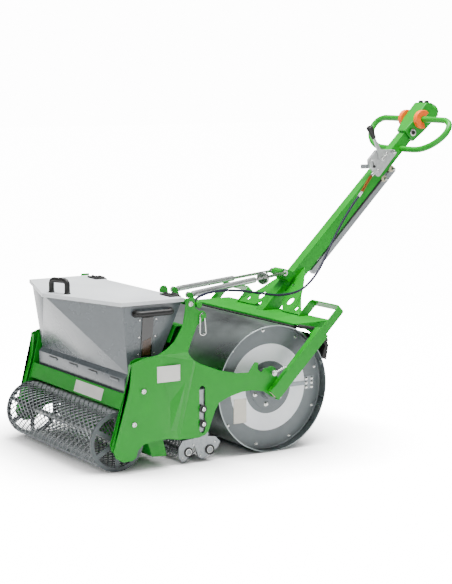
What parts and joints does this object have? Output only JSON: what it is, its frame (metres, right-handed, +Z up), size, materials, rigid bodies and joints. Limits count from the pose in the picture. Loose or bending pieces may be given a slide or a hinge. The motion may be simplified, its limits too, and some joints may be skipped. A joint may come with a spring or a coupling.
{
  "type": "push seeder",
  "caption": "Walk-behind drum seeder with a seed hopper, a driven steel drum, a mesh roller, twin tine rotors and a looped tiller handle.",
  "frame": {"origin": "centre of the machine's box on the ground, under the middle of its width and length", "axes": "+X to the machine's left along the drum axle, +Y to the rear where the operator walks, +Z up; it drives towards -Y"},
  "size_m": [0.901, 1.8994, 1.348],
  "materials": {
    "green_paint": "semi-gloss leaf-green powder coat",
    "rubber": "black wiper rubber",
    "steel": "smooth rolled steel",
    "grey_paint": "light grey paint",
    "black_plastic": "moulded black nylon",
    "galvanised": "dull galvanised steel",
    "zinc": "bright zinc plate",
    "cast_alloy": "cast aluminium",
    "alloy_tube": "extruded aluminium",
    "dark_metal": "black painted aluminium",
    "orange_plastic": "orange moulded plastic",
    "cable_jacket": "dark violet plastic sheath"
  },
  "bodies": {
    "rear_frame": {"leg_left": "green_paint", "leg_right": "green_paint", "bail_left": "green_paint", "bail_right": "green_paint", "cross_beam": "green_paint", "drum_wiper": "rubber", "rear_scraper": "rubber", "handle_shaft": "green_paint", "gusset_left": "green_paint", "gusset_right": "green_paint", "handle_loop": "green_paint", "control_housing": "green_paint", "lever_bracket": "cast_alloy", "conduit_rail": "alloy_tube", "control_cable": "cable_jacket", "axle": "steel", "drive_motor": "dark_metal"},
    "drum": {"drum_shell": "steel", "drum_disc_left": "grey_paint", "drum_disc_right": "grey_paint"},
    "front_frame": {"side_plate_left": "green_paint", "side_plate_right": "green_paint", "inner_plate_left": "green_paint", "inner_plate_right": "green_paint", "front_panel": "green_paint", "rear_panel": "green_paint", "seed_deflector": "green_paint", "hopper_shell": "grey_paint", "hopper_window": "black_plastic", "hopper_grip_left": "black_plastic", "hopper_grip_right": "black_plastic", "strut_bar": "green_paint"},
    "lid": {"lid_panel": "grey_paint", "lid_grip": "black_plastic"},
    "mesh_roller": {"roller_mesh": "galvanised", "roller_wheel_left": "galvanised", "roller_wheel_right": "galvanised", "roller_shaft": "steel"},
    "seed_shaft": {"metering_shaft": "dark_metal"},
    "tine_carriage": {"tine_bracket_left": "galvanised", "tine_bracket_right": "galvanised", "tine_crossbar": "galvanised"},
    "tine_front": {"tine_rotor_front": "galvanised"},
    "tine_rear": {"tine_rotor_rear": "galvanised"},
    "strut_near_tube": {"strut_near_tube": "zinc"},
    "strut_near_rod": {"strut_near_rod": "zinc"},
    "strut_far_tube": {"strut_far_tube": "zinc"},
    "strut_far_rod": {"strut_far_rod": "zinc"},
    "handwheel": {"strut_handwheel": "zinc"},
    "clutch_lever": {"lever_arm": "cast_alloy", "lever_grip": "black_plastic"},
    "throttle": {"throttle_paddle_left": "orange_plastic", "throttle_paddle_right": "orange_plastic"},
    "horn_button": {"horn_button": "black_plastic"},
    "drive_button": {"drive_button": "black_plastic"},
    "stop_plate": {"stop_plate": "green_paint"},
    "hook_left": {"hook_left": "zinc"},
    "hook_right": {"hook_right": "zinc"},
    "lock_lever_left": {"lock_lever_left": "zinc"},
    "lock_lever_right": {"lock_lever_right": "zinc"}
  },
  "joints": [
    {"name": "drum_spin", "type": "hinge", "parent": "rear_frame", "child": "drum", "pos_m": [0, -0.1527, 0.25], "axis": [1, 0, 0], "continuous": true},
    {"name": "front_pitch", "type": "hinge", "parent": "rear_frame", "child": "front_frame", "pos_m": [0, -0.1527, 0.25], "axis": [-1, 0, 0], "range_deg": [0, 5], "deforming": ["control_cable"]},
    {"name": "mesh_roller_spin", "type": "hinge", "parent": "front_frame", "child": "mesh_roller", "pos_m": [0, -0.8267, 0.112], "axis": [1, 0, 0], "continuous": true},
    {"name": "seed_shaft_spin", "type": "hinge", "parent": "front_frame", "child": "seed_shaft", "pos_m": [0, -0.7227, 0.325], "axis": [1, 0, 0], "continuous": true},
    {"name": "tine_lift", "type": "slide", "parent": "front_frame", "child": "tine_carriage", "axis": [0, 0, 1], "range_m": [-0.025, 0.04]},
    {"name": "tine_front_spin", "type": "hinge", "parent": "tine_carriage", "child": "tine_front", "pos_m": [0, -0.5397, 0.045], "axis": [1, 0, 0], "continuous": true},
    {"name": "tine_rear_spin", "type": "hinge", "parent": "tine_carriage", "child": "tine_rear", "pos_m": [0, -0.4457, 0.045], "axis": [1, 0, 0], "continuous": true},
    {"name": "lid_hinge", "type": "hinge", "parent": "front_frame", "child": "lid", "pos_m": [0, -0.5467, 0.634], "axis": [-1, 0, 0], "range_deg": [0, 85]},
    {"name": "strut_near_front_pin", "type": "hinge", "parent": "front_frame", "child": "strut_near_tube", "pos_m": [0.385, -0.5247, 0.645], "axis": [0.8496, -0.3514, 0.3933], "range_deg": [0, 3.29]},
    {"name": "strut_near_rear_pin", "type": "hinge", "parent": "rear_frame", "child": "strut_near_rod", "pos_m": [0.045, 0.1323, 0.648], "axis": [-0.7882, -0.41, 0.4589], "range_deg": [0, 2.82]},
    {"name": "strut_far_front_pin", "type": "hinge", "parent": "front_frame", "child": "strut_far_tube", "pos_m": [0.27, -0.5247, 0.652], "axis": [0.849, -0.3486, 0.3971], "range_deg": [0, 3.19]},
    {"name": "strut_far_rear_pin", "type": "hinge", "parent": "rear_frame", "child": "strut_far_rod", "pos_m": [-0.048, 0.1323, 0.648], "axis": [-0.8082, -0.3885, 0.4425], "range_deg": [0, 2.86]},
    {"name": "handwheel_spin", "type": "hinge", "parent": "strut_near_rod", "child": "handwheel", "pos_m": [0.1276, -0.0274, 0.6473], "axis": [-0.4596, 0.8881, 0.0041], "continuous": true},
    {"name": "clutch_lever_pivot", "type": "hinge", "parent": "rear_frame", "child": "clutch_lever", "pos_m": [0.0383, 0.6273, 1.106], "axis": [-1, 0, 0], "range_deg": [0, 40]},
    {"name": "throttle_turn", "type": "hinge", "parent": "rear_frame", "child": "throttle", "pos_m": [0, 0.8283, 1.268], "axis": [1, 0, 0], "range_deg": [-25, 25], "stiffness_Nm_per_rad": 0.8},
    {"name": "horn_press", "type": "slide", "parent": "rear_frame", "child": "horn_button", "axis": [0, 0, 1], "range_m": [-0.003, 0], "stiffness_N_per_m": 300, "springref_m": 0.001},
    {"name": "drive_press", "type": "slide", "parent": "rear_frame", "child": "drive_button", "axis": [0, 0, 1], "range_m": [-0.003, 0], "stiffness_N_per_m": 300, "springref_m": 0.001},
    {"name": "stop_press", "type": "slide", "parent": "rear_frame", "child": "stop_plate", "axis": [0, -0.8, -0.6], "range_m": [0, 0.0025], "stiffness_N_per_m": 2500, "springref_m": -0.002},
    {"name": "hook_left_swing", "type": "hinge", "parent": "front_frame", "child": "hook_left", "pos_m": [0.4415, -0.4987, 0.568], "axis": [1, 0, 0], "range_deg": [-60, 60]},
    {"name": "hook_right_swing", "type": "hinge", "parent": "front_frame", "child": "hook_right", "pos_m": [-0.4415, -0.4987, 0.568], "axis": [1, 0, 0], "range_deg": [-60, 60]},
    {"name": "lock_left_turn", "type": "hinge", "parent": "front_frame", "child": "lock_lever_left", "pos_m": [0.4265, -0.1717, 0.319], "axis": [1, 0, 0], "range_deg": [0, 90]},
    {"name": "lock_right_turn", "type": "hinge", "parent": "front_frame", "child": "lock_lever_right", "pos_m": [-0.4265, -0.1717, 0.319], "axis": [1, 0, 0], "range_deg": [0, 90]}
  ],
  "couplings": [
    {"joint": "seed_shaft_spin", "follows": "mesh_roller_spin", "ratio": 1},
    {"joint": "strut_near_front_pin", "follows": "front_pitch", "ratio": 0.6557},
    {"joint": "strut_near_rear_pin", "follows": "front_pitch", "ratio": 0.5619},
    {"joint": "strut_far_front_pin", "follows": "front_pitch", "ratio": 0.6352},
    {"joint": "strut_far_rear_pin", "follows": "front_pitch", "ratio": 0.57}
  ]
}
